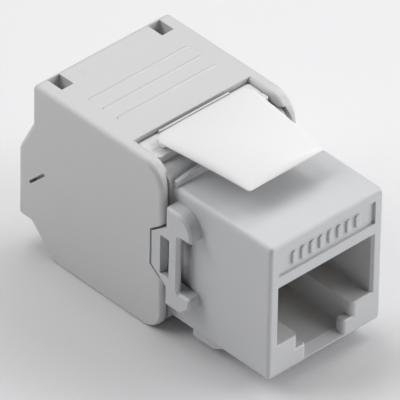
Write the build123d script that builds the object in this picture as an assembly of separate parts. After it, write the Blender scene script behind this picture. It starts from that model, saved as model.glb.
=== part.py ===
from build123d import *
import math
import os

os.makedirs("parts", exist_ok=True)

# Slim tool-less keystone jack with one plug port. Sizes are in millimetres.
# It is modelled with the port face at y = 0 and the underside of the housing at z = 0,
# x to the right seen from the front and y towards the cable. Every piece is moved to the
# shared origin, below the middle of the whole jack, when it is written.

# Clearances
seat_gap = 0.1
running_gap = 0.2
bracket_gap = 0.42
tongue_gap = 0.26
tongue_slope_gap = 0.1
tongue_inner_gap = 0.15
blade_clearance = 0.05

# Plug port in the front face
port_width = 12.0
port_height = 6.95
shoulder_top = 3.7
port_depth = 10.3
port_top_radius = 0.3
port_floor_radius = 0.2
tab_slot_width = 6.9
tab_slot_floor = 0.75
stop_spacing = 4.7
stop_top = 2.05
stop_depth = 1.2
stop_side_radius = 0.5
stop_edge_bevel = 0.15
stop_root = 0.3
shoulder_side_radius = 0.6
shoulder_edge_radius = 0.2
mouth_bevel = 0.25
mouth_bevel_depth = 0.3
floor_notch_height = 0.42
floor_lip = 0.12

# Front housing
face_width = 14.6
head_height = 4.95
housing_length = 13.4
side_edge_radius = 0.5
face_edge_radius = 0.4
rear_lip_length = 0.45
rear_lip_height = 0.5
rear_lip_arch = 0.65
rear_lip_inset = 0.15

# Label recess above the port
label_side_reach = 0.2
label_strip = 1.2
label_top_margin = 1.1
label_depth = 0.3

# Fixed keystone hook under the housing
hook_start = 6.4
hook_ramp = 1.4
hook_length = 4.2
hook_depth = 0.8
hook_inset = 0.3
hook_radius = 0.2

# Window bracket on each side of the housing
bracket_length = 3.5
bracket_low = 2.5
bracket_top_margin = 1.45
bracket_root = 0.4
bracket_top_radius = 2.0
bracket_bevel = 1.25
bracket_corner_radius = 0.3
bracket_rim_bevel = 0.25
front_slot_length = 1.7
bracket_low_arm = 2.35
bracket_high_arm = 2.75
strap_thickness = 0.5
tongue_length = 1.78
tongue_low_margin = 1.5
tongue_high_margin = 1.1
tongue_flare = 1.35
tongue_corner_radius = 0.12
window_length = 1.2
window_setback = 1.2
window_low_margin = 1.1
window_high_margin = 0.95
wall_window_length = 2.75
wall_window_low_reach = 0.5
wall_window_high_margin = 0.7

# Rear cap
side_step = 1.45
top_step = 2.4
cap_overlap = 0.1
cap_length = 18.2
cap_drop = 1.6
cap_wall = 1.0
cap_top_wall = 1.05
cap_rear_wall = 1.1
cap_front_radius = 3.0
cap_front_low_radius = 2.6
cap_edge_radius = 0.5
cap_corner_radius = 0.55
cap_lead_in = 0.3
cap_lead_in_length = 0.6
cap_taper_start = 6.0
cap_taper = 0.12
cable_bore_radius = 3.3
cable_height = 5.6
collar_length = 1.9
collar_margin = 0.75
collar_wall = 1.2
collar_root_step = 0.1
slope_height = 3.75
slope_inner_drop = 0.2
slope_high_radius = 0.8
slope_low_radius = 1.0
notch_side_wall = 1.55
notch_length = 5.4
notch_depth = 13.0
notch_rim_radius = 0.5
pocket_width = 1.5
pocket_length = 2.0
pocket_side_margin = 1.55
pocket_rear_margin = 0.5
pocket_depth = 3.0
grip_rib_count = 3
grip_rib_setback = 3.5
grip_rib_pitch = 1.95
grip_rib_margin = 2.45
grip_rib_width = 0.36
grip_rib_height = 0.07
relief_slit_length = 2.9
relief_slit_width = 0.3
relief_slit_depth = 0.7
relief_slit_rise = 0.6
relief_slit_reach = 0.25

# Termination block behind the housing
block_length = 6.4
block_front_radius = 1.5
block_low_bevel = 0.4
side_recess_length = 2.1
side_recess_depth = 1.2
side_recess_margin = 0.5
tower_length = 5.1
tower_height = 6.0
tower_spacing = 7.0
tower_edge_bevel = 0.3
terminal_count = 4
terminal_pitch = 3.2
terminal_side_wall = 0.7
wire_slot_width = 0.9
wire_slot_depth = 4.5
wire_slot_bevel = 0.4

# Circuit board
board_side_margin = 1.1
board_low_margin = 1.5
board_high_margin = 1.75
board_thickness = 1.2
board_setback = 0.3

# Slotted terminals
blade_width = 2.2
blade_thickness = 0.4
blade_leg_width = 0.5
blade_leg_length = 0.9
blade_shoulder_radius = 0.3
blade_cover = 0.5
blade_slit = 0.25
blade_slit_depth = 3.8
blade_mouth = 1.1
blade_mouth_depth = 0.8

# Spring contacts
contact_count = 8
contact_pitch = 1.02
contact_width = 0.46
contact_thickness = 0.3
contact_rise = 1.95
contact_bend_radius = 0.7
contact_bend_setback = 0.8
contact_tip_length = 0.45
contact_tip_height = 1.0
contact_room_length = 6.7
contact_room_rise = 1.7
contact_room_margin = 0.6
contact_room_overlap = 0.5
contact_tail_setback = 0.1

# Holes in the board, wider than what passes through them
leg_hole_gap = 0.1
contact_hole_gap = 0.085

# Insert behind the port
insert_side_reach = 0.05
insert_low_step = 0.25
insert_edge_bevel = 0.3
insert_top_wall = 0.5
comb_slot_gap = 0.1
comb_slot_low_step = 1.9
comb_slot_rise = 1.3

# Flexible latch
latch_base_height = 0.75
latch_base_radius = 0.3
latch_base_gap = 0.1
latch_base_setback = 0.65
latch_stop_height = 0.27
latch_stop_length = 0.2
latch_stop_half_width = 4.5
latch_seat_height = 0.25
latch_seat_wall = 0.25
latch_seat_inset = 0.6
latch_root_setback = 2.05
latch_roll_radius = 0.7
latch_root_margin = 1.1
latch_taper = 1.25
latch_reach = 11.0
latch_tail = 1.05
latch_tip_height = 2.35
latch_tip_thickness = 0.45
latch_rear_thickness = 0.25
latch_rear_drop = 0.2
latch_edge_inset = 0.2
latch_crest_height = 0.9
latch_corner_radius = 1.3
latch_crown_share = 0.55
latch_section_count = 7
peg_radius = 0.7
peg_length = 1.0
peg_spacing = 9.0

# Wire organizer inside the cap
organizer_gap = 0.6
organizer_edge_radius = 0.3
channel_width = 1.1
channel_depth = 0.6
passage_width = 6.8
passage_height = 11.0
passage_front_wall = 1.6
cross_passage_height = 2.4
cross_passage_side_wall = 1.2
cross_passage_rear_wall = 1.2
anvil_width = 0.6
anvil_length = 1.6
anvil_root = 0.2
anvil_blade_gap = 0.25
anvil_end_gap = 0.4

# Places worked out from the sizes above
cut_margin = 1.0
port_top = shoulder_top + port_height
face_height = port_top + head_height
half_face = face_width / 2
label_low = port_top + label_strip
label_high = face_height - label_top_margin
hook_rear = hook_start + hook_length
half_cap = half_face + side_step
cap_top = face_height + top_step
cap_front = housing_length - cap_overlap
cap_rear = cap_front + cap_length
overall_length = cap_rear + collar_length
cavity_high = cap_top - cap_top_wall
cavity_low = -cap_drop + cap_wall
cavity_half_width = half_cap - cap_wall
cavity_rear = cap_rear - cap_rear_wall
collar_low = cable_height - cable_bore_radius - collar_margin
slope_low = cable_height + cable_bore_radius + collar_margin
slope_high = slope_low + slope_height
underside_end = cap_rear + collar_root_step
underside_start = underside_end - (collar_low + cap_drop)
diagonal = math.sqrt(2)
notch_rear = cap_front + notch_length
notch_half_width = half_cap - notch_side_wall
pocket_rear = cap_rear - pocket_rear_margin
bracket_high = face_height - bracket_top_margin
bracket_rear = cap_front - bracket_gap
bracket_front = bracket_rear - bracket_length
front_slot_rear = bracket_front + front_slot_length
front_slot_low = bracket_low + bracket_low_arm
front_slot_high = bracket_high - bracket_high_arm
tongue_rear = bracket_rear + tongue_length
tongue_low = front_slot_low + tongue_low_margin
tongue_high = front_slot_high - tongue_high_margin
window_front = front_slot_rear + window_setback
block_front = housing_length
block_rear = block_front + block_length
block_high = cavity_high - running_gap
block_low = cavity_low + running_gap
block_half_width = cavity_half_width - running_gap
tower_rear = block_rear + tower_length
tower_middle = (block_low + block_high) / 2
tower_rows = (tower_middle + tower_spacing / 2, tower_middle - tower_spacing / 2)
terminal_xs = [terminal_pitch * (index - (terminal_count - 1) / 2) for index in range(terminal_count)]
tower_half_width = terminal_xs[-1] + blade_width / 2 + terminal_side_wall
board_front = block_front + board_setback
board_rear = board_front + board_thickness
board_half_width = block_half_width - board_side_margin
board_low = block_low + board_low_margin
board_high = block_high - board_high_margin
blade_start = board_rear + blade_leg_length
blade_end = tower_rear - blade_cover
contact_height = port_top + contact_rise
contact_xs = [contact_pitch * (index - (contact_count - 1) / 2) for index in range(contact_count)]
contact_room_front = port_depth - contact_room_length
contact_room_high = contact_height + contact_room_rise
contact_room_half_width = contact_xs[-1] + contact_width / 2 + contact_room_margin
contact_front = contact_room_front + contact_bend_setback
insert_front = port_depth + seat_gap
insert_rear = board_front - seat_gap
insert_half_width = port_width / 2 + insert_side_reach
insert_low = tab_slot_floor + insert_low_step
comb_slot_low = shoulder_top + comb_slot_low_step
comb_slot_high = contact_height + comb_slot_rise
insert_high = comb_slot_high + insert_top_wall
latch_base_top = block_high + latch_base_height
latch_base_rear = notch_rear - running_gap
latch_base_front = block_front + block_front_radius + latch_base_setback
latch_base_half_width = notch_half_width - latch_base_gap
latch_pivot_y = notch_rear - latch_root_setback
latch_pivot_z = latch_base_top + latch_roll_radius + seat_gap / 2
latch_tip_y = latch_pivot_y - latch_reach
latch_rear_y = latch_pivot_y + latch_tail
latch_tip_low = face_height + latch_tip_height
latch_root_half_width = notch_half_width - latch_root_margin
latch_tip_half_width = latch_root_half_width - latch_taper
organizer_front = tower_rear + organizer_gap
organizer_half_width = cavity_half_width - seat_gap


def block(x_low, x_high, y_low, y_high, z_low, z_high):
    size = (x_high - x_low, y_high - y_low, z_high - z_low)
    centre = ((x_low + x_high) / 2, (y_low + y_high) / 2, (z_low + z_high) / 2)
    return Pos(*centre) * Box(*size)


def rounded_face(corners):
    """Flat face from (across, up, corner radius) triples."""
    points = [(across, up) for across, up, radius in corners]
    radii = [radius for across, up, radius in corners]
    return make_face(FilletPolyline(*points, radius=radii, close=True))


def side_prism(corners, x_low, x_high):
    """Solid with the side view given by (y, z, radius) corners."""
    return extrude(Plane.YZ.offset(x_low) * rounded_face(corners), amount=x_high - x_low)


def front_prism(corners, y_low, y_high):
    """Solid with the front view given by (x, z, radius) corners."""
    return extrude(Plane.XZ.offset(-y_high) * rounded_face(corners), amount=y_high - y_low)


def plan_prism(corners, z_low, z_high):
    """Solid with the outline from above given by (x, y, radius) corners."""
    return extrude(Plane.XY.offset(z_low) * rounded_face(corners), amount=z_high - z_low)


def rod(x, z, y_low, y_high, radius):
    """Round bar along the length of the jack."""
    middle = (y_low + y_high) / 2
    return Pos(x, middle, z) * Rot(90, 0, 0) * Cylinder(radius, y_high - y_low)


def mirrored(solid):
    return solid.mirror(Plane.YZ)


def underside_line(y, wall):
    """Height of the sloping underside of the cap, this far inside its outer surface."""
    return y - underside_start - cap_drop + wall * diagonal


def bracket_corners():
    """Side view of the window bracket with its rear tongue."""
    small = bracket_corner_radius
    tip = tongue_corner_radius
    return [
        (bracket_rear, bracket_high, small),
        (bracket_front, bracket_high, bracket_top_radius),
        (bracket_front, front_slot_high, small),
        (front_slot_rear, front_slot_high, small),
        (front_slot_rear, front_slot_low, small),
        (bracket_front, front_slot_low, small),
        (bracket_front, bracket_low + bracket_bevel, small),
        (bracket_front + bracket_bevel, bracket_low, small),
        (bracket_rear, bracket_low, small),
        (bracket_rear, tongue_low - tongue_flare, 0),
        (tongue_rear, tongue_low, tip),
        (tongue_rear, tongue_high, tip),
        (bracket_rear, tongue_high + tongue_flare, 0),
    ]


def tongue_notch_corners():
    """Side view of the cap's cut-out around the bracket, with its clearance."""
    gap = tongue_gap
    front = cap_front - cut_margin
    low = -cap_drop - cut_margin
    high = cap_top + cut_margin
    return [
        (front, low, 0),
        (bracket_rear + gap, low, 0),
        (bracket_rear + gap, tongue_low - tongue_flare - tongue_slope_gap, 0),
        (tongue_rear + gap, tongue_low - tongue_slope_gap, 0),
        (tongue_rear + gap, tongue_high + tongue_slope_gap, 0),
        (bracket_rear + gap, tongue_high + tongue_flare + tongue_slope_gap, 0),
        (bracket_rear + gap, high, 0),
        (front, high, 0),
    ]


def window_bracket():
    """Right-hand bracket: two arms, front slot, strap, rear window and tongue."""
    plate = side_prism(bracket_corners(), half_face - bracket_root, half_cap)
    rim = plate.faces().sort_by(Axis.X)[-1].edges()
    front_rim = [edge for edge in rim if edge.center().Y < front_slot_rear]
    plate = chamfer(front_rim, bracket_rim_bevel)
    hollow = block(
        0, half_cap - strap_thickness, front_slot_rear - cut_margin, housing_length,
        front_slot_low, front_slot_high,
    )
    behind_housing = block(
        0, block_half_width + tongue_inner_gap, housing_length, tongue_rear + cut_margin, 0, face_height
    )
    window = block(
        0, half_cap + cut_margin, window_front, window_front + window_length,
        front_slot_low + window_low_margin, front_slot_high - window_high_margin,
    )
    return plate - behind_housing - hollow - window


def plug_port():
    """Room for the plug, with the narrower slot for its tab below."""
    half = port_width / 2
    slot = tab_slot_width / 2
    corners = [
        (half, shoulder_top, port_floor_radius),
        (half, port_top, port_top_radius),
        (-half, port_top, port_top_radius),
        (-half, shoulder_top, port_floor_radius),
        (-slot, shoulder_top, 0),
        (-slot, tab_slot_floor, port_floor_radius),
        (slot, tab_slot_floor, port_floor_radius),
        (slot, shoulder_top, 0),
    ]
    return front_prism(corners, -cut_margin, port_depth)


def shoulder_rounding():
    """Takes the upright front edge and the top front edge off the right-hand shoulder."""
    slot = tab_slot_width / 2
    side = shoulder_side_radius
    edge = shoulder_edge_radius
    height = shoulder_top - tab_slot_floor
    upright = block(slot - cut_margin, slot + side, -cut_margin, side, tab_slot_floor, shoulder_top)
    upright -= Pos(slot + side, side, tab_slot_floor + height / 2) * Cylinder(side, height)
    length = port_width / 2 + mouth_bevel - slot
    top = block(slot, slot + length, -cut_margin, edge, shoulder_top - edge, shoulder_top)
    top -= Pos(slot + length / 2, edge, shoulder_top - edge) * Rot(0, 90, 0) * Cylinder(edge, length)
    return upright + top


def plug_stop():
    """Rounded finger beside the tab slot, at the mouth on the right-hand side."""
    stop = stop_spacing / 2
    outer = tab_slot_width / 2 + shoulder_side_radius + stop_root
    corners = [
        (outer, 0, 0),
        (outer, stop_depth, 0),
        (stop, stop_depth, stop_side_radius),
        (stop, 0, stop_side_radius),
    ]
    finger = plan_prism(corners, face_edge_radius, stop_top)
    return chamfer(finger.faces().sort_by(Axis.Z)[-1].edges(), stop_edge_bevel)


def port_mouth():
    """Lead-in bevels on both sides of the port, the sloped floor and the notch under it."""
    half = port_width / 2
    side_wedge = [
        (half - cut_margin, -cut_margin, 0),
        (half + mouth_bevel, -cut_margin, 0),
        (half + mouth_bevel, 0, 0),
        (half, mouth_bevel_depth, 0),
        (half - cut_margin, mouth_bevel_depth, 0),
    ]
    right = plan_prism(side_wedge, shoulder_top, port_top)
    ramp = [
        (-cut_margin, floor_notch_height, 0),
        (0, floor_notch_height, 0),
        (stop_depth, tab_slot_floor, 0),
        (stop_depth, stop_top, 0),
        (-cut_margin, stop_top, 0),
    ]
    underside = [
        (-cut_margin, -cut_margin, 0),
        (stop_depth, -cut_margin, 0),
        (stop_depth, 0, 0),
        (0, floor_notch_height - floor_lip, 0),
        (-cut_margin, floor_notch_height - floor_lip, 0),
    ]
    stop = stop_spacing / 2
    wide = stop + stop_side_radius
    return right + mirrored(right) + side_prism(ramp, -wide, wide) + side_prism(underside, -stop, stop)


def keystone_hook():
    low = -hook_depth
    ramp_end = hook_start + hook_ramp
    corners = [
        (hook_start, side_edge_radius, 0),
        (hook_start, 0, 0),
        (ramp_end, low, hook_radius),
        (hook_rear, low, hook_radius),
        (hook_rear, side_edge_radius, 0),
    ]
    return side_prism(corners, -half_face + hook_inset, half_face - hook_inset)


def rear_lip():
    """Low arched rib across the top of the housing, in front of the cap."""
    half = half_face - rear_lip_inset
    low = face_height - side_edge_radius
    high = face_height + rear_lip_height
    lines = Polyline((-half, high), (-half, low), (half, low), (half, high))
    arch = ThreePointArc((half, high), (0, high + rear_lip_arch), (-half, high))
    section = Plane.XZ.offset(-housing_length) * make_face(lines + arch)
    return extrude(section, amount=rear_lip_length)


def make_front_housing():
    shell = block(-half_face, half_face, 0, housing_length, 0, face_height)
    shell = fillet(shell.edges().filter_by(Axis.Y), side_edge_radius)
    shell = fillet(shell.faces().sort_by(Axis.Y)[0].edges(), face_edge_radius)
    bracket = window_bracket()
    shell = shell + keystone_hook() + rear_lip() + bracket + mirrored(bracket)
    rounding = shoulder_rounding()
    shell = shell - plug_port() - rounding - mirrored(rounding) - port_mouth()
    stop = plug_stop()
    shell = shell + stop + mirrored(stop)
    room_half = insert_half_width + seat_gap
    shell -= block(
        -room_half, room_half, port_depth, housing_length + cut_margin,
        insert_low - seat_gap, insert_high + seat_gap,
    )
    shell -= block(
        -contact_room_half_width, contact_room_half_width, contact_room_front, port_depth + cut_margin,
        port_top - contact_room_overlap, contact_room_high,
    )
    wall_window = block(
        room_half - seat_gap, half_face, housing_length - wall_window_length, housing_length + cut_margin,
        front_slot_low - wall_window_low_reach, front_slot_high - wall_window_high_margin,
    )
    shell = shell - wall_window - mirrored(wall_window)
    label_half = port_width / 2 + label_side_reach
    return shell - block(-label_half, label_half, -cut_margin, label_depth, label_low, label_high)


def cap_outer_corners():
    return [
        (cap_front, cap_top, cap_front_radius),
        (cap_rear, cap_top, cap_corner_radius),
        (cap_rear, slope_high, slope_high_radius),
        (overall_length, slope_low, slope_low_radius),
        (overall_length, collar_low, cap_corner_radius),
        (underside_end, collar_low, cap_corner_radius),
        (underside_start, -cap_drop, cap_corner_radius),
        (cap_front, -cap_drop, cap_front_low_radius),
    ]


def cap_cavity_corners():
    front = cap_front - cut_margin
    collar_rear = overall_length - collar_wall
    collar_floor = collar_low + cap_wall
    corner = cap_corner_radius
    floor_end = collar_floor - underside_line(0, cap_wall)
    floor_start = cavity_low - underside_line(0, cap_wall)
    return [
        (front, cavity_high, 0),
        (cavity_rear, cavity_high, corner),
        (cavity_rear, slope_high - slope_inner_drop, corner),
        (collar_rear, slope_low - slope_inner_drop, corner),
        (collar_rear, collar_floor, 0),
        (floor_end, collar_floor, 0),
        (floor_start, cavity_low, 0),
        (front, cavity_low, 0),
    ]


def cap_side_lead_in():
    """Wedge that thins the front edge of the right side wall from inside."""
    corners = [
        (cavity_half_width, cap_front - cut_margin, 0),
        (cavity_half_width + cap_lead_in, cap_front - cut_margin, 0),
        (cavity_half_width + cap_lead_in, cap_front, 0),
        (cavity_half_width, cap_front + cap_lead_in_length, 0),
    ]
    return plan_prism(corners, cavity_low, cap_top)


def grip_rib(y):
    """Low ridge across the top of the cap."""
    corners = [
        (y - grip_rib_width / 2, cap_top, 0),
        (y, cap_top + grip_rib_height, 0),
        (y + grip_rib_width / 2, cap_top, 0),
        (y, cap_top - grip_rib_height, 0),
    ]
    half = half_cap - grip_rib_margin
    return side_prism(corners, -half, half)


def relief_slit():
    """Slanted slit in the right side wall, beside the collar."""
    reach = relief_slit_length / 2 / diagonal
    middle_y = cap_rear + relief_slit_reach - reach
    middle_z = cable_height + relief_slit_rise + reach
    cutter = Box(2 * relief_slit_depth, relief_slit_length, relief_slit_width)
    return Pos(half_cap, middle_y, middle_z) * Rot(-45, 0, 0) * cutter


def cap_side_taper():
    """Wedge that draws the lower part of the right side wall slightly inwards."""
    corners = [
        (half_cap, cap_taper_start, 0),
        (half_cap - cap_taper, -cap_drop - cut_margin, 0),
        (half_cap + cut_margin, -cap_drop - cut_margin, 0),
        (half_cap + cut_margin, cap_taper_start, 0),
    ]
    return front_prism(corners, cap_front - cut_margin, overall_length + cut_margin)


def notch_rims(shell):
    """Inner top edges of the walls beside the notch for the latch."""
    rims = []
    for edge in shell.edges():
        centre = edge.center()
        beside = abs(abs(centre.X) - notch_half_width) < seat_gap
        if beside and centre.Z > cap_top - seat_gap and centre.Y < notch_rear - seat_gap:
            rims.append(edge)
    return rims


def make_rear_cap():
    half = half_cap
    shell = side_prism(cap_outer_corners(), -half, half)
    sides = shell.faces().filter_by(Axis.X)
    shell = fillet(sides[0].edges() + sides[1].edges(), cap_edge_radius)
    front = cap_front - cut_margin
    high = cap_top + cut_margin
    shell -= block(-notch_half_width, notch_half_width, front, notch_rear, cap_top - notch_depth, high)
    shell = fillet(notch_rims(shell), notch_rim_radius)
    shell -= side_prism(cap_cavity_corners(), -cavity_half_width, cavity_half_width)
    lead_in = cap_side_lead_in()
    taper = cap_side_taper()
    shell = shell - lead_in - mirrored(lead_in) - taper - mirrored(taper)
    collar_rear = overall_length - collar_wall
    shell -= rod(0, cable_height, collar_rear, overall_length + cut_margin, cable_bore_radius)
    cutout = side_prism(tongue_notch_corners(), cavity_half_width - cut_margin, half + cut_margin)
    shell = shell - cutout - mirrored(cutout)
    pocket_outer = half - pocket_side_margin
    pocket = block(
        pocket_outer - pocket_width, pocket_outer, pocket_rear - pocket_length, pocket_rear,
        cap_top - pocket_depth, high,
    )
    slit = relief_slit()
    shell = shell - pocket - mirrored(pocket) - slit - mirrored(slit)
    for index in range(grip_rib_count):
        shell += grip_rib(notch_rear + grip_rib_setback + index * grip_rib_pitch)
    return shell


def terminal_slots(x, row):
    """Wire slot with a bevelled mouth, and the pocket that holds one blade."""
    reach = tower_height / 2 + seat_gap
    half = wire_slot_width / 2
    mouth_start = tower_rear - wire_slot_bevel
    wire_slot = plan_prism(
        [
            (x - half, tower_rear - wire_slot_depth, 0),
            (x + half, tower_rear - wire_slot_depth, 0),
            (x + half, mouth_start, 0),
            (x + half + wire_slot_bevel, tower_rear, 0),
            (x - half - wire_slot_bevel, tower_rear, 0),
            (x - half, mouth_start, 0),
        ],
        row - reach,
        row + reach,
    )
    blade_half = blade_width / 2 + blade_clearance
    blade_high = blade_thickness / 2 + blade_clearance
    blade_pocket = block(
        x - blade_half, x + blade_half, blade_start - blade_clearance, tower_rear + cut_margin,
        row - blade_high, row + blade_high,
    )
    leg_half = blade_leg_width / 2 + leg_hole_gap
    leg_high = blade_thickness / 2 + leg_hole_gap
    leg_hole = block(
        x - leg_half, x + leg_half, board_rear - seat_gap, blade_start, row - leg_high, row + leg_high,
    )
    return wire_slot + blade_pocket + leg_hole


def latch_pegs(radius, length):
    """Two round pegs down from the top of the termination block."""
    pegs = []
    for side in (-1, 1):
        place = Pos(side * peg_spacing / 2, latch_pivot_y, block_high - length / 2)
        pegs.append(place * Cylinder(radius, length))
    return pegs


def make_terminal_block():
    half = block_half_width
    corners = [
        (block_front, block_high, block_front_radius),
        (block_rear, block_high, 0),
        (block_rear, block_low, 0),
        (block_front + block_low_bevel, block_low, 0),
        (block_front, block_low + block_low_bevel, 0),
    ]
    core = side_prism(corners, -half, half)
    board_half = board_half_width + seat_gap
    core -= block(
        -board_half, board_half, block_front - cut_margin, board_rear,
        board_low - seat_gap, board_high + seat_gap,
    )
    for row in tower_rows:
        tower = block(
            -tower_half_width, tower_half_width, block_rear - seat_gap, tower_rear,
            row - tower_height / 2, row + tower_height / 2,
        )
        core += chamfer(tower.edges().filter_by(Axis.Y), tower_edge_bevel)
    for row in tower_rows:
        for x in terminal_xs:
            core -= terminal_slots(x, row)
    for hole in latch_pegs(peg_radius + blade_clearance, peg_length + seat_gap):
        core -= hole
    recess = block(
        half - side_recess_depth, half + cut_margin, block_front - cut_margin,
        block_front + side_recess_length, tongue_low - side_recess_margin, tongue_high + side_recess_margin,
    )
    return core - recess - mirrored(recess)


def make_circuit_board():
    half = board_half_width
    board = block(-half, half, board_front, board_rear, board_low, board_high)
    leg_size = (blade_leg_width / 2 + leg_hole_gap, blade_thickness / 2 + leg_hole_gap)
    contact_size = (contact_width / 2 + contact_hole_gap, contact_thickness / 2 + contact_hole_gap)
    holes = [(x, row, leg_size) for row in tower_rows for x in terminal_xs]
    holes += [(x, contact_height, contact_size) for x in contact_xs]
    for x, z, (across, up) in holes:
        board -= block(
            x - across, x + across, board_front - cut_margin, board_rear + cut_margin, z - up, z + up,
        )
    return board


def make_idc_blade(x, row):
    """Flat blade with a leg, two tines and a slit that grips the wire."""
    half = blade_width / 2
    leg = blade_leg_width / 2
    slit = blade_slit / 2
    mouth = blade_mouth / 2
    mouth_start = blade_end - blade_mouth_depth
    slit_start = blade_end - blade_slit_depth
    outline = [
        (x - leg, board_front, 0),
        (x + leg, board_front, 0),
        (x + leg, blade_start, 0),
        (x + half, blade_start, blade_shoulder_radius),
        (x + half, blade_end, 0),
        (x + mouth, blade_end, 0),
        (x + slit, mouth_start, 0),
        (x + slit, slit_start, 0),
        (x - slit, slit_start, 0),
        (x - slit, mouth_start, 0),
        (x - mouth, blade_end, 0),
        (x - half, blade_end, 0),
        (x - half, blade_start, blade_shoulder_radius),
        (x - leg, blade_start, 0),
    ]
    return plan_prism(outline, row - blade_thickness / 2, row + blade_thickness / 2)


def make_contact(x):
    """Spring wire from the board, forward over the port, and back down into the comb."""
    half = contact_thickness / 2
    start_y = board_rear - contact_tail_setback
    bend_y = contact_front - half
    tip = (insert_front + contact_tip_length, comb_slot_low + contact_tip_height)
    slant_length = math.dist((bend_y, contact_height), tip)
    slant = ((tip[0] - bend_y) / slant_length, (tip[1] - contact_height) / slant_length)
    across = (-slant[1] * half, slant[0] * half)
    miter = half / math.tan(math.atan2(-slant[1], slant[0]) / 2)
    corners = [
        (start_y, contact_height + half, 0),
        (bend_y - miter, contact_height + half, contact_bend_radius + half),
        (tip[0] - across[0], tip[1] - across[1], 0),
        (tip[0] + across[0], tip[1] + across[1], 0),
        (bend_y + miter, contact_height - half, contact_bend_radius - half),
        (start_y, contact_height - half, 0),
    ]
    return side_prism(corners, x - contact_width / 2, x + contact_width / 2)


def make_contact_carrier():
    half = insert_half_width
    insert = block(-half, half, insert_front, insert_rear, insert_low, insert_high)
    insert = chamfer(insert.edges().filter_by(Axis.Y), insert_edge_bevel)
    slot_half = contact_width / 2 + comb_slot_gap
    for x in contact_xs:
        insert -= block(
            x - slot_half, x + slot_half, insert_front - cut_margin, insert_rear + cut_margin,
            comb_slot_low, comb_slot_high,
        )
    return insert


def latch_roll(radius, half_width):
    return Pos(0, latch_pivot_y, latch_pivot_z) * Rot(0, 90, 0) * Cylinder(radius, 2 * half_width)


def make_latch_base():
    half = latch_base_half_width
    plate = block(-half, half, latch_base_front, latch_base_rear, block_high, latch_base_top)
    plate = fillet(plate.edges().filter_by(Axis.Z), latch_base_radius)
    reach = latch_roll_radius + latch_seat_wall
    seat_half = latch_root_half_width - latch_seat_inset
    seat = block(
        -seat_half, seat_half, latch_pivot_y - reach, latch_pivot_y + reach,
        block_high, latch_base_top + latch_seat_height,
    )
    rear_stop = block(
        -latch_stop_half_width, latch_stop_half_width, latch_base_rear - latch_stop_length, latch_base_rear,
        block_high, latch_base_top + latch_stop_height,
    )
    base = plate + seat + rear_stop
    for peg in latch_pegs(peg_radius, peg_length):
        base += peg
    return base - latch_roll(latch_roll_radius + seat_gap, half)


def latch_section(y, half_width, low, high):
    """Cross-section of the latch: flat underside, sides drawn in below and a crowned top."""
    side = high - latch_crown_share * (high - low)
    inner = half_width - latch_edge_inset
    lines = Polyline((-half_width, side), (-inner, low), (inner, low), (half_width, side))
    top = ThreePointArc((half_width, side), (0, high), (-half_width, side))
    return Plane.XZ.offset(-y) * make_face(lines + top)


def latch_plate():
    """Tapered arm, thin at the tip and at the rear and thickest between them."""
    sections = []
    tip_high = latch_tip_low + latch_tip_thickness
    rear_high = latch_pivot_z + latch_rear_thickness
    crest = latch_pivot_z + latch_crest_height
    swell = crest - (tip_high + rear_high) / 2
    for index in range(latch_section_count):
        share = index / (latch_section_count - 1)
        y = latch_tip_y + share * (latch_rear_y - latch_tip_y)
        half_width = latch_tip_half_width + share * latch_taper
        low = latch_tip_low + share * (latch_pivot_z - latch_rear_drop - latch_tip_low)
        high = tip_high + share * (rear_high - tip_high) + swell * (1 - (2 * share - 1) ** 2)
        sections.append(latch_section(y, half_width, low, high))
    return loft(sections)


def make_latch_arm():
    front = latch_tip_y - cut_margin
    front_half = latch_root_half_width
    outline = [
        (-front_half, front, 0),
        (front_half, front, 0),
        (latch_root_half_width, latch_rear_y, latch_corner_radius),
        (-latch_root_half_width, latch_rear_y, latch_corner_radius),
    ]
    crest = latch_pivot_z + latch_crest_height
    plate = latch_plate() & plan_prism(outline, latch_tip_low - cut_margin, crest + cut_margin)
    reach = latch_roll_radius
    half = latch_root_half_width
    below = plan_prism(outline, latch_pivot_z - reach, latch_pivot_z + latch_rear_thickness / 2)
    roll = latch_roll(reach, half - latch_edge_inset) & below
    return plate + roll


def organizer_corners():
    top = cavity_high - seat_gap
    bottom = cavity_low + seat_gap
    gap = cap_wall + seat_gap
    return [
        (organizer_front, top, organizer_edge_radius),
        (cavity_rear - seat_gap, top, cap_corner_radius),
        (cavity_rear - seat_gap, underside_line(cavity_rear - seat_gap, gap), 0),
        (bottom - underside_line(0, gap), bottom, 0),
        (organizer_front, bottom, organizer_edge_radius),
    ]


def make_wire_organizer():
    half = organizer_half_width
    body = side_prism(organizer_corners(), -half, half)
    body -= block(
        -passage_width / 2, passage_width / 2, organizer_front + passage_front_wall,
        cavity_rear + cut_margin, tower_middle - passage_height / 2, tower_middle + passage_height / 2,
    )
    side = half - cross_passage_side_wall
    body -= block(
        -side, side, organizer_front - cut_margin, cavity_rear - cross_passage_rear_wall,
        tower_middle - cross_passage_height / 2, tower_middle + cross_passage_height / 2,
    )
    places = [(x, row) for row in tower_rows for x in terminal_xs]
    for x, row in places:
        body -= block(
            x - channel_width / 2, x + channel_width / 2, organizer_front - cut_margin,
            organizer_front + channel_depth, row - tower_height / 2, row + tower_height / 2,
        )
    near = blade_thickness / 2 + anvil_blade_gap
    far = tower_height / 2 - anvil_end_gap
    for x, row in places:
        for low, high in ((row - far, row - near), (row + near, row + far)):
            body += block(
                x - anvil_width / 2, x + anvil_width / 2, organizer_front - anvil_length,
                organizer_front + channel_depth + anvil_root, low, high,
            )
    return body


def write(name, solid):
    placed = Pos(0, -overall_length / 2, cap_drop) * solid
    placed.label = name
    export_step(placed, "parts/" + name + ".step")


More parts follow.
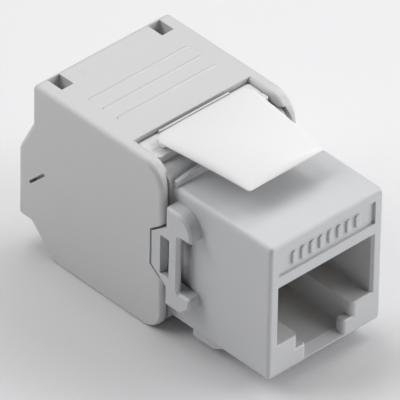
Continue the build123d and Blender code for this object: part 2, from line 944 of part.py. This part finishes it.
def main():
    write("front_housing", make_front_housing())
    write("rear_cap", make_rear_cap())
    write("terminal_block", make_terminal_block())
    write("circuit_board", make_circuit_board())
    write("contact_carrier", make_contact_carrier())
    write("wire_organizer", make_wire_organizer())
    write("latch_base", make_latch_base())
    write("latch_arm", make_latch_arm())
    for index, x in enumerate(contact_xs):
        write("contact_" + str(index + 1), make_contact(x))
    places = [(x, row) for row in tower_rows for x in terminal_xs]
    for index, (x, row) in enumerate(places):
        write("idc_blade_" + str(index + 1), make_idc_blade(x, row))


main()
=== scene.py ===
import math
import bmesh
import bpy
from mathutils import Matrix, Vector


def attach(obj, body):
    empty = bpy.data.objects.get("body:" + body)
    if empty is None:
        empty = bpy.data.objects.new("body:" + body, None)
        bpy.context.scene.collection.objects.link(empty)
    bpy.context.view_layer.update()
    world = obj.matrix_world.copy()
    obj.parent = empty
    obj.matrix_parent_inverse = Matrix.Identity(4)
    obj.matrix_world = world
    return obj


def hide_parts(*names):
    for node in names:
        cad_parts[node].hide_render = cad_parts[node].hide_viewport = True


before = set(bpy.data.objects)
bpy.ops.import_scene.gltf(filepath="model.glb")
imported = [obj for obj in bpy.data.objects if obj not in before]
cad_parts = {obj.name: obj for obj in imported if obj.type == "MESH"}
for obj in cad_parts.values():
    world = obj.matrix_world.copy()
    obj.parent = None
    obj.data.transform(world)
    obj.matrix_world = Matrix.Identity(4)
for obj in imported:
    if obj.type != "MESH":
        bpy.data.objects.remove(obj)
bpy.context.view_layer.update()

mm = 0.001
print("frame loaded:", len(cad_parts), "pieces")


# Shader maths

class Signal:  # wraps one shader socket, so that a mask or a mix reads as plain arithmetic
    def __init__(self, graph, socket):
        self.graph = graph
        self.socket = socket

    def calc(self, operation, *values):
        return self.graph.node("ShaderNodeMath", {"operation": operation}, dict(enumerate(values)))

    def __add__(self, other):
        return self.calc("ADD", self, other)

    def __radd__(self, other):
        return self.calc("ADD", other, self)

    def __sub__(self, other):
        return self.calc("SUBTRACT", self, other)

    def __rsub__(self, other):
        return self.calc("SUBTRACT", other, self)

    def __mul__(self, other):
        return self.calc("MULTIPLY", self, other)

    def __rmul__(self, other):
        return self.calc("MULTIPLY", other, self)

    def clamp(self):
        return self.calc("MINIMUM", self.calc("MAXIMUM", self, 0.0), 1.0)

    def rampTo(self, low, high):  # 0 below low, 1 above high, smooth between
        sockets = {"Value": self, "From Min": low, "From Max": high}
        return self.graph.node("ShaderNodeMapRange", {"interpolation_type": "SMOOTHSTEP"}, sockets)


class Graph:  # the node tree of one material
    def __init__(self, name):
        self.material = bpy.data.materials.new(name)
        self.material.use_nodes = True
        self.tree = self.material.node_tree
        self.tree.nodes.clear()

    def node(self, kind, settings=None, sockets=None, output=0):
        made = self.tree.nodes.new(kind)
        for key, value in (settings or {}).items():
            setattr(made, key, value)
        for key, value in (sockets or {}).items():
            if isinstance(value, Signal):
                self.tree.links.new(value.socket, made.inputs[key])
            else:
                made.inputs[key].default_value = value
        return Signal(self, made.outputs[output])

    def coords(self):
        return self.node("ShaderNodeTexCoord", output="Object")

    def noise(self, size, detail=2.0, stretch=(1, 1, 1), seed=0.0):  # size of one blotch in metres
        place = self.node("ShaderNodeMapping", {}, {"Vector": self.coords(), "Scale": stretch})
        settings = {"noise_dimensions": "4D"}
        sockets = {"Vector": place, "Scale": 1 / size, "Detail": detail, "W": seed}
        return self.node("ShaderNodeTexNoise", settings, sockets)

    def mix(self, factor, first, second):  # for colours the node takes 0, 6 and 7, and gives 2
        settings = {"data_type": "RGBA"}
        return self.node("ShaderNodeMix", settings, {0: factor, 6: first, 7: second}, output=2)

    def bump(self, height, depth, normal=None):  # depth in metres for a height of 1
        sockets = {"Height": height, "Distance": depth, "Strength": 1.0}
        if normal:
            sockets["Normal"] = normal
        return self.node("ShaderNodeBump", {}, sockets)

    def softEdges(self, radius, samples=6):
        return self.node("ShaderNodeBevel", {"samples": samples}, {"Radius": radius})

    def surface(self, **sockets):
        named = {name.replace("_", " "): value for name, value in sockets.items()}
        shader = self.node("ShaderNodeBsdfPrincipled", {}, named)
        output = self.tree.nodes.new("ShaderNodeOutputMaterial")
        self.tree.links.new(shader.socket, output.inputs["Surface"])
        return self.material


def rgba(colour, scale=1.0):
    return (*[min(1.0, channel * scale) for channel in colour], 1.0)


# Materials

greyPlastic = {
    "grainSize": 0.09 * mm,
    "grainDepth": 0.0035 * mm,
    "cloudSize": 5.5 * mm,
    "cloudShare": 0.018,  # how far the tone wanders to each side
    "flowSize": 1.6 * mm,
    "flowStretch": (1, 0.22, 1),  # flow marks run along y, the length of the jack
    "flowTone": 0.3,  # the flow marks' share of the tone, the clouds have the rest
    "flowGloss": 0.6,  # the flow marks' share of the gloss, the grain has the rest
    "roughness": 0.28,
    "roughnessSpread": 0.02,
    "edgeRadius": 0.07 * mm,
}


def mouldedPlastic(name, colour, look, seed):
    graph = Graph(name)
    grain = graph.noise(look["grainSize"], detail=3.0, seed=seed)
    clouds = graph.noise(look["cloudSize"], seed=seed + 1)
    flow = graph.noise(look["flowSize"], detail=4.0, stretch=look["flowStretch"], seed=seed + 2)
    blotches = clouds * (1 - look["flowTone"]) + flow * look["flowTone"]
    share = look["cloudShare"]
    tone = graph.mix(blotches.clamp(), rgba(colour, 1 - share), rgba(colour, 1 + share))
    marks = flow * look["flowGloss"] + grain * (1 - look["flowGloss"]) - 0.5
    rough = look["roughness"] + marks * 2 * look["roughnessSpread"]
    normal = graph.bump(grain, look["grainDepth"], graph.softEdges(look["edgeRadius"]))
    return graph.surface(Base_Color=tone, Roughness=rough.clamp(), Normal=normal, IOR=1.5)


boardLook = {
    "mask": (0.012, 0.085, 0.035),
    "track": (0.02, 0.14, 0.055),
    "trackSize": 0.9 * mm,
    "trackStretch": (1, 1, 0.35),
    "trackEdges": (0.46, 0.5, 0.54, 0.58),  # a track lies between the second and the third level
    "weaveSize": 0.12 * mm,
    "weaveShare": 0.2,
    "relief": 0.02 * mm,
    "roughness": 0.3,
    "roughnessSpread": 0.15,
    "seed": 3.0,
}


def solderMask(name, look):
    graph = Graph(name)
    bands = graph.noise(look["trackSize"], detail=0.0, stretch=look["trackStretch"], seed=look["seed"])
    start, full, fade, end = look["trackEdges"]
    tracks = bands.rampTo(start, full) * (1 - bands.rampTo(fade, end))
    tone = graph.mix(tracks, rgba(look["mask"]), rgba(look["track"]))
    weave = graph.noise(look["weaveSize"], detail=1.0, seed=look["seed"] + 1)
    rough = look["roughness"] + weave * look["roughnessSpread"]
    normal = graph.bump(tracks + weave * look["weaveShare"], look["relief"])
    return graph.surface(Base_Color=tone, Roughness=rough, Normal=normal)


platedLook = {
    "drawSize": 0.05 * mm,
    "drawStretch": (1, 0.06, 1),  # drawing lines run along y
    "patchSize": 0.8 * mm,
    "patchEdges": (0.35, 0.75),
    "roughnessSpread": 0.2,
    "edgeRadius": 0.04 * mm,
}
goldLook = dict(
    platedLook,
    colour=(0.86, 0.62, 0.24),
    dull=(0.74, 0.55, 0.27),
    roughness=0.2,
    drawDepth=0.0012 * mm,
)
tinLook = dict(
    platedLook,
    colour=(0.68, 0.67, 0.64),
    dull=(0.52, 0.51, 0.48),
    roughness=0.3,
    drawDepth=0.0015 * mm,
)


def platedMetal(name, look, seed):
    graph = Graph(name)
    drawn = graph.noise(look["drawSize"], stretch=look["drawStretch"], seed=seed)
    patches = graph.noise(look["patchSize"], detail=3.0, seed=seed + 1)
    tone = graph.mix(patches.rampTo(*look["patchEdges"]), rgba(look["colour"]), rgba(look["dull"]))
    rough = look["roughness"] + (drawn - 0.5) * look["roughnessSpread"]
    normal = graph.bump(drawn, look["drawDepth"], graph.softEdges(look["edgeRadius"]))
    return graph.surface(Base_Color=tone, Metallic=1.0, Roughness=rough.clamp(), Normal=normal)


latchPlastic = dict(greyPlastic, grainDepth=0.002 * mm, cloudShare=0.008, roughness=0.4)
insertPlastic = dict(greyPlastic, grainDepth=0.003 * mm, cloudShare=0.08, roughness=0.5)

finishes = {
    "housing": mouldedPlastic("housing_grey", (0.615, 0.62, 0.635), greyPlastic, 10.0),
    "cap": mouldedPlastic("cap_grey", (0.62, 0.62, 0.622), greyPlastic, 20.0),
    "core": mouldedPlastic("core_grey", (0.60, 0.605, 0.615), greyPlastic, 30.0),
    # the latch's seat is the same grey plastic as the cap, painted lighter so that it reads lit down in
    # its shaded recess (painted light)
    "lit_seat": mouldedPlastic("seat_grey_painted_lighter", (0.72, 0.722, 0.728), greyPlastic, 35.0),
    "latch": mouldedPlastic("latch_white", (0.83, 0.83, 0.828), latchPlastic, 40.0),
    "insert": mouldedPlastic("insert_grey", (0.15, 0.15, 0.155), insertPlastic, 50.0),
    "organizer": mouldedPlastic("organizer_natural", (0.72, 0.72, 0.69), insertPlastic, 60.0),
    "board": solderMask("board_green", boardLook),
    "gold": platedMetal("contact_gold", goldLook, 70.0),
    "tin": platedMetal("blade_tin", tinLook, 80.0),
}

terminalCount = 8
dressing = {
    "front_housing": "housing",
    "rear_cap": "cap",
    "terminal_block": "core",
    "latch_base": "lit_seat",
    "latch_arm": "latch",
    "contact_carrier": "insert",
    "wire_organizer": "organizer",
    "circuit_board": "board",
}
for index in range(terminalCount):
    dressing["contact_" + str(index + 1)] = "gold"
    dressing["idc_blade_" + str(index + 1)] = "tin"


def dress(node, finish):
    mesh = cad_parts[node].data
    mesh.materials.clear()
    mesh.materials.append(finishes[finish])


for node, finish in dressing.items():
    dress(node, finish)
print("finishes on all pieces")


def addObject(name, data):
    made = bpy.data.objects.new(name, data)
    bpy.context.scene.collection.objects.link(made)
    return made


# Geometry Nodes

class Pattern:  # one node group that makes geometry from named inputs
    def __init__(self, name, inputs):
        self.group = bpy.data.node_groups.new(name, "GeometryNodeTree")
        self.values = {}
        for label, (kind, value) in inputs.items():
            item = self.group.interface.new_socket(label, in_out="INPUT", socket_type=kind)
            self.values[item.identifier] = value
        self.group.interface.new_socket("Geometry", in_out="OUTPUT", socket_type="NodeSocketGeometry")
        self.inputs = self.group.nodes.new("NodeGroupInput").outputs

    def node(self, kind, settings=None, sockets=None, output=0):
        made = self.group.nodes.new(kind)
        for key, value in (settings or {}).items():
            setattr(made, key, value)
        for key, value in (sockets or {}).items():
            if isinstance(value, bpy.types.NodeSocket):
                self.group.links.new(value, made.inputs[key])
            else:
                made.inputs[key].default_value = value
        return made.outputs[output]

    def make(self, name, geometry):  # ends as a plain mesh, with no modifier left
        plain = self.node("GeometryNodeRealizeInstances", sockets={"Geometry": geometry})
        sockets = {"Geometry": plain, "Material": self.inputs["Material"]}
        painted = self.node("GeometryNodeSetMaterial", sockets=sockets)
        end = self.group.nodes.new("NodeGroupOutput")
        self.group.links.new(painted, end.inputs["Geometry"])
        made = addObject(name, bpy.data.meshes.new(name))
        modifier = made.modifiers.new(name, "NODES")
        modifier.node_group = self.group
        for identifier, value in self.values.items():
            modifier[identifier] = value
        evaluated = made.evaluated_get(bpy.context.evaluated_depsgraph_get())
        made.data = bpy.data.meshes.new_from_object(evaluated)
        made.modifiers.remove(modifier)
        return made


# Plain raised bars in the label recess, one for each contact
barPattern = {
    "count": terminalCount,
    "pitch": 1.16 * mm,
    "width": 0.62 * mm,
    "height": 1.5 * mm,
    "corner": 0.24 * mm,
    "cornerPoints": 4,
    "relief": 0.24 * mm,
    "risers": ((0.7, 1.0), (0.2, 0.93), (0.1, 0.88)),  # share of the relief, and how far its top draws in
    "floor": (-16.4 * mm, 14.775 * mm),  # y of the recess's floor, and z of the middle of the row
}


def makeLabelBars(look):
    first = -look["pitch"] * (look["count"] - 1) / 2
    inputs = {
        "Count": ("NodeSocketInt", look["count"]),
        "Pitch": ("NodeSocketFloat", look["pitch"]),
        "Width": ("NodeSocketFloat", look["width"]),
        "Height": ("NodeSocketFloat", look["height"]),
        "Corner": ("NodeSocketFloat", look["corner"]),
        "Relief": ("NodeSocketFloat", look["relief"]),
        "Material": ("NodeSocketMaterial", finishes["housing"]),
    }
    pattern = Pattern("label_bars", inputs)
    given = pattern.inputs
    offset = pattern.node("ShaderNodeCombineXYZ", sockets={"X": given["Pitch"]})
    sockets = {"Count": given["Count"], "Offset": offset, "Start Location": (first, *look["floor"])}
    points = pattern.node("GeometryNodeMeshLine", {}, sockets)
    sockets = {"Width": given["Width"], "Height": given["Height"]}
    outline = pattern.node("GeometryNodeCurvePrimitiveQuadrilateral", {}, sockets)
    sockets = {"Curve": outline, "Count": look["cornerPoints"], "Radius": given["Corner"]}
    rounded = pattern.node("GeometryNodeFilletCurve", {"mode": "POLY"}, sockets)
    solid = pattern.node("GeometryNodeFillCurve", {"mode": "NGONS"}, {"Curve": rounded})
    top = None
    for rise, shrink in look["risers"]:
        height = pattern.node("ShaderNodeMath", {"operation": "MULTIPLY"}, {0: given["Relief"], 1: rise})
        sockets = {"Mesh": solid, "Offset Scale": height}
        if top:
            sockets["Selection"] = top
        solid = pattern.node("GeometryNodeExtrudeMesh", {}, sockets)
        top = solid.node.outputs["Top"]
        sockets = {"Geometry": solid, "Selection": top, "Scale": shrink}
        solid = pattern.node("GeometryNodeScaleElements", {}, sockets)
    sockets = {"Geometry": solid, "Rotation": (math.radians(90), 0, 0)}
    upright = pattern.node("GeometryNodeTransform", {}, sockets)
    sockets = {"Points": points, "Instance": upright}
    return pattern.make("label_bars", pattern.node("GeometryNodeInstanceOnPoints", {}, sockets))


# The housing's side wall, curving in behind the strap of each side bracket
sideWell = {
    "frontY": -6.05 * mm,
    "rearY": -3.55 * mm,
    "lowZ": 5.95 * mm,
    "highZ": 12.3 * mm,
    "frontX": 7.3 * mm,
    "rearX": 6.6 * mm,
    "wall": 0.25 * mm,
    "steps": 10,
    "curve": 1.5,  # above 1, so that it leaves the outer wall without an edge
}


def makeSideWells(look):
    shape = bmesh.new()
    low, high = look["lowZ"], look["highZ"]
    for side in (-1, 1):
        rows = []
        for step in range(look["steps"] + 1):
            share = step / look["steps"]
            y = look["frontY"] + share * (look["rearY"] - look["frontY"])
            outer = look["frontX"] - share ** look["curve"] * (look["frontX"] - look["rearX"])
            inner = outer - look["wall"]
            corners = ((outer, low), (outer, high), (inner, high), (inner, low))
            rows.append([shape.verts.new((side * x, y, z)) for x, z in corners])
        for near, far in zip(rows, rows[1:]):
            for index, corner in enumerate(near):
                after = (index + 1) % len(near)
                strip = shape.faces.new((corner, near[after], far[after], far[index]))
                strip.smooth = index in (0, 2)  # the outer and the inner face
        shape.faces.new(rows[0])
        shape.faces.new(rows[-1])
    bmesh.ops.recalc_face_normals(shape, faces=shape.faces)
    mesh = bpy.data.meshes.new("side_wells")
    shape.to_mesh(mesh)
    shape.free()
    mesh.materials.append(finishes["housing"])
    return addObject("side_wells", mesh)


# Latch arm with the soft, pillow-like edges of the moulding
latchForm = {
    "tipY": -11.05 * mm,
    "rearY": 1.0 * mm,
    "tipHalf": 4.85 * mm,
    "rearHalf": 6.1 * mm,
    "tipLow": 19.55 * mm,
    "rearLow": 19.65 * mm,
    "tipHigh": 20.0 * mm,
    "rearHigh": 20.1 * mm,
    "swell": 0.7 * mm,  # arch along the length
    "crownShare": 0.55,  # how much of the thickness the top gives up at each side
    "underShare": 0.4,  # how much of the edge's rounding lies on the underside
    "edgeReach": 0.75 * mm,  # how far in from the outline the edge's rounding goes
    "tipCorner": 0.3 * mm,
    "rearCorner": 1.3 * mm,
    "leastCorner": 0.02 * mm,
    "cornerSteps": 10,
    "insets": (0.0, 0.01, 0.035, 0.08, 0.14, 0.22, 0.32, 0.44, 0.58, 0.75, 1.1, 1.7, 2.5, 3.4, 4.3),  # mm
    "mergeReach": 0.0005 * mm,
    "pivotY": -0.05 * mm,
    "pivotZ": 19.85 * mm,
    "rollRadius": 0.7 * mm,
    "rollHalf": 5.95 * mm,
    "rollMargin": 0.1 * mm,
    "rollSteps": 20,
}


def latchShare(form, y):
    return (y - form["tipY"]) / (form["rearY"] - form["tipY"])


def latchHalf(form, y):
    return form["tipHalf"] + latchShare(form, y) * (form["rearHalf"] - form["tipHalf"])


def latchHeights(form, x, y, inset):  # underside and top at one place, inset from the outline
    share = latchShare(form, y)
    swell = form["swell"] * (1 - (2 * share - 1) ** 2)
    low = form["tipLow"] + share * (form["rearLow"] - form["tipLow"])
    high = form["tipHigh"] + share * (form["rearHigh"] - form["tipHigh"]) + swell
    side = high - form["crownShare"] * (high - low)
    top = side + (high - side) * (1 - (x / latchHalf(form, y)) ** 2)
    away = max(0.0, 1 - inset / form["edgeReach"])
    drop = 1 - math.sqrt(1 - away ** 2)
    lift = form["underShare"] * (side - low)
    return low + lift * drop, top - (top - low - lift) * drop


def latchOutline(form, inset):  # plan outline, as corner arcs joined by straight runs
    steps = form["cornerSteps"]
    plan = ((1, "tipY", 1, "tipCorner"), (1, "rearY", -1, "rearCorner"),
            (-1, "rearY", -1, "rearCorner"), (-1, "tipY", 1, "tipCorner"))
    corners = []
    for side, y, sign, radius in plan:
        room = max(form[radius], inset + form["leastCorner"])
        centreX = side * (latchHalf(form, form[y]) - room)
        corners.append((centreX, form[y] + sign * room, room - inset))
    points = []
    for index, (x, y, radius) in enumerate(corners):
        for step in range(steps + 1):
            angle = math.radians(-90 + 90 * index + 90 * step / steps)
            points.append((x + radius * math.cos(angle), y + radius * math.sin(angle)))
        nextX, nextY, nextRadius = corners[(index + 1) % len(corners)]
        angle = math.radians(90 * index)
        beginX, beginY = points[-1]
        endX = nextX + nextRadius * math.cos(angle)
        endY = nextY + nextRadius * math.sin(angle)
        for step in range(1, steps):
            part = step / steps
            points.append((beginX + part * (endX - beginX), beginY + part * (endY - beginY)))
    return points


def addSheets(form, vertices, faces):  # top and underside, as rings that step in from the outline
    insets = [inset * mm for inset in form["insets"]]
    count = len(latchOutline(form, 0.0))
    centreY = (form["tipY"] + form["rearY"]) / 2
    for level in (1, 0):
        base = len(vertices)
        for inset in insets:
            for x, y in latchOutline(form, inset):
                vertices.append((x, y, latchHeights(form, x, y, inset)[level]))
        vertices.append((0, centreY, latchHeights(form, 0, centreY, form["edgeReach"])[level]))
        middle = len(vertices) - 1
        for ring in range(len(insets)):
            innermost = ring == len(insets) - 1
            for index in range(count):
                a = base + ring * count + index
                b = base + ring * count + (index + 1) % count
                face = (a, b, middle) if innermost else (a, b, b + count, a + count)
                faces.append(face if level else face[::-1])


def addRoll(form, vertices, faces):  # half round under the root, where the latch flexes
    base = len(vertices)
    for step in range(form["rollSteps"] + 1):
        angle = math.pi + math.pi * step / form["rollSteps"]
        y = form["pivotY"] + form["rollRadius"] * math.cos(angle)
        z = form["pivotZ"] + form["rollRadius"] * math.sin(angle)
        corner = max(0.0, y - (form["rearY"] - form["rearCorner"]))
        cut = form["rearCorner"] - math.sqrt(form["rearCorner"] ** 2 - corner ** 2)
        half = min(form["rollHalf"], latchHalf(form, y) - cut - form["rollMargin"])
        vertices += [(-half, y, z), (half, y, z)]
    ends = [base + 2 * step for step in range(form["rollSteps"] + 1)]
    for a, b in zip(ends, ends[1:]):
        faces.append((a, b, b + 1, a + 1))
    faces.append(tuple(ends[::-1]))
    faces.append(tuple(index + 1 for index in ends))
    faces.append((ends[0], ends[0] + 1, ends[-1] + 1, ends[-1]))


def makeLatch(form):
    vertices, faces = [], []
    addSheets(form, vertices, faces)
    addRoll(form, vertices, faces)
    mesh = bpy.data.meshes.new("latch_shell")
    mesh.from_pydata(vertices, [], faces)
    shell = bmesh.new()
    shell.from_mesh(mesh)
    bmesh.ops.remove_doubles(shell, verts=shell.verts, dist=form["mergeReach"])
    bmesh.ops.recalc_face_normals(shell, faces=shell.faces)
    shell.to_mesh(mesh)
    shell.free()
    smooth = [len(face.vertices) <= 4 for face in mesh.polygons]  # all but the ends of the roll
    mesh.polygons.foreach_set("use_smooth", smooth)
    mesh.materials.append(finishes["latch"])
    return addObject("latch_shell", mesh)


def join(piece, body, slot, *nodes):
    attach(piece, body)
    if nodes:
        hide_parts(*nodes)


join(makeLabelBars(barPattern), "jack", "grey_shell")
join(makeSideWells(sideWell), "jack", "grey_shell")
join(makeLatch(latchForm), "latch", "white_latch", "latch_arm")
print("added pieces made")


# Studio

studio = {
    "floorHalf": 1.5,
    "floorColour": (0.80, 0.80, 0.81),
    "floorTooth": 0.8 * mm,
    "floorShare": 0.005,  # how far the floor's tone wanders to each side
    "floorRoughness": 0.9,
    "worldColour": (1.0, 1.0, 1.0),
    "worldStrength": 0.06,
    "lampDistance": 0.5,
}

lamps = {
    "highRear": {"azimuth": 180, "elevation": 68, "power": 0.551, "size": 0.24},
    "rearRight": {"azimuth": 135, "elevation": 50, "power": 0.324, "size": 0.24},
    "right": {"azimuth": 90, "elevation": 45, "power": 0.791, "size": 0.24},
    "lowRight": {"azimuth": 62, "elevation": 10, "power": 0.657, "size": 0.24},
    "frontRight": {"azimuth": 45, "elevation": 35, "power": 0.683, "size": 0.3},
    "lowFront": {"azimuth": 20, "elevation": 10, "power": 0.381, "size": 0.24},
    "rearLeft": {"azimuth": 225, "elevation": 45, "power": 0.841, "size": 0.3},
    "lowRearLeft": {"azimuth": 240, "elevation": 15, "power": 0.249, "size": 0.24},
}


def direction(azimuth, elevation):  # azimuth 0 is in front of the port, 90 to its right
    turn = math.radians(azimuth)
    rise = math.radians(elevation)
    return Vector((math.sin(turn) * math.cos(rise), -math.cos(turn) * math.cos(rise), math.sin(rise)))


def makeFloor(look):
    half = look["floorHalf"]
    mesh = bpy.data.meshes.new("floor")
    corners = [(-half, -half, 0), (half, -half, 0), (half, half, 0), (-half, half, 0)]
    mesh.from_pydata(corners, [], [(0, 1, 2, 3)])
    graph = Graph("floor_paper")
    tooth = graph.noise(look["floorTooth"], detail=3.0, seed=90.0)
    share = look["floorShare"]
    tone = graph.mix(tooth, rgba(look["floorColour"], 1 - share), rgba(look["floorColour"], 1 + share))
    mesh.materials.append(graph.surface(Base_Color=tone, Roughness=look["floorRoughness"]))
    addObject("floor", mesh)


def makeLamp(name, look):
    data = bpy.data.lights.new(name, "AREA")
    data.shape = "DISK"
    data.size = look["size"]
    data.energy = look["power"]
    towards = direction(look["azimuth"], look["elevation"])
    lamp = addObject(name, data)
    lamp.location = towards * studio["lampDistance"]
    lamp.rotation_euler = towards.to_track_quat("Z", "Y").to_euler()


def makeWorld(look):
    world = bpy.data.worlds.new("studio")
    world.use_nodes = True
    background = world.node_tree.nodes["Background"]
    background.inputs["Color"].default_value = rgba(look["worldColour"])
    background.inputs["Strength"].default_value = look["worldStrength"]
    bpy.context.scene.world = world


# Camera, at the photograph's viewing angle
photoView = {
    "azimuth": -43.595,
    "elevation": 37.738,
    "roll": 1.09,
    "distance": 853.095 * mm,
    "lookAt": (0.0, 0.658 * mm, 9.437 * mm),
    "lens": 810.0,
    "sensor": 36.0,
}


def makeCamera(look):
    roll = math.radians(look["roll"])
    back = direction(look["azimuth"], look["elevation"])
    right = Vector((0, 0, 1)).cross(back).normalized()
    up = back.cross(right)
    rolledRight = math.cos(roll) * right + math.sin(roll) * up
    rolledUp = math.cos(roll) * up - math.sin(roll) * right
    turned = Matrix((rolledRight, rolledUp, back)).transposed().to_4x4()
    data = bpy.data.cameras.new("photo_view")
    data.lens = look["lens"]
    data.sensor_width = look["sensor"]
    camera = addObject("photo_view", data)
    camera.matrix_world = Matrix.Translation(Vector(look["lookAt"]) + back * look["distance"]) @ turned
    bpy.context.scene.camera = camera


makeFloor(studio)
for name, look in lamps.items():
    makeLamp(name, look)
makeWorld(studio)
makeCamera(photoView)
bpy.context.scene.view_settings.view_transform = "Standard"
print("studio ready")
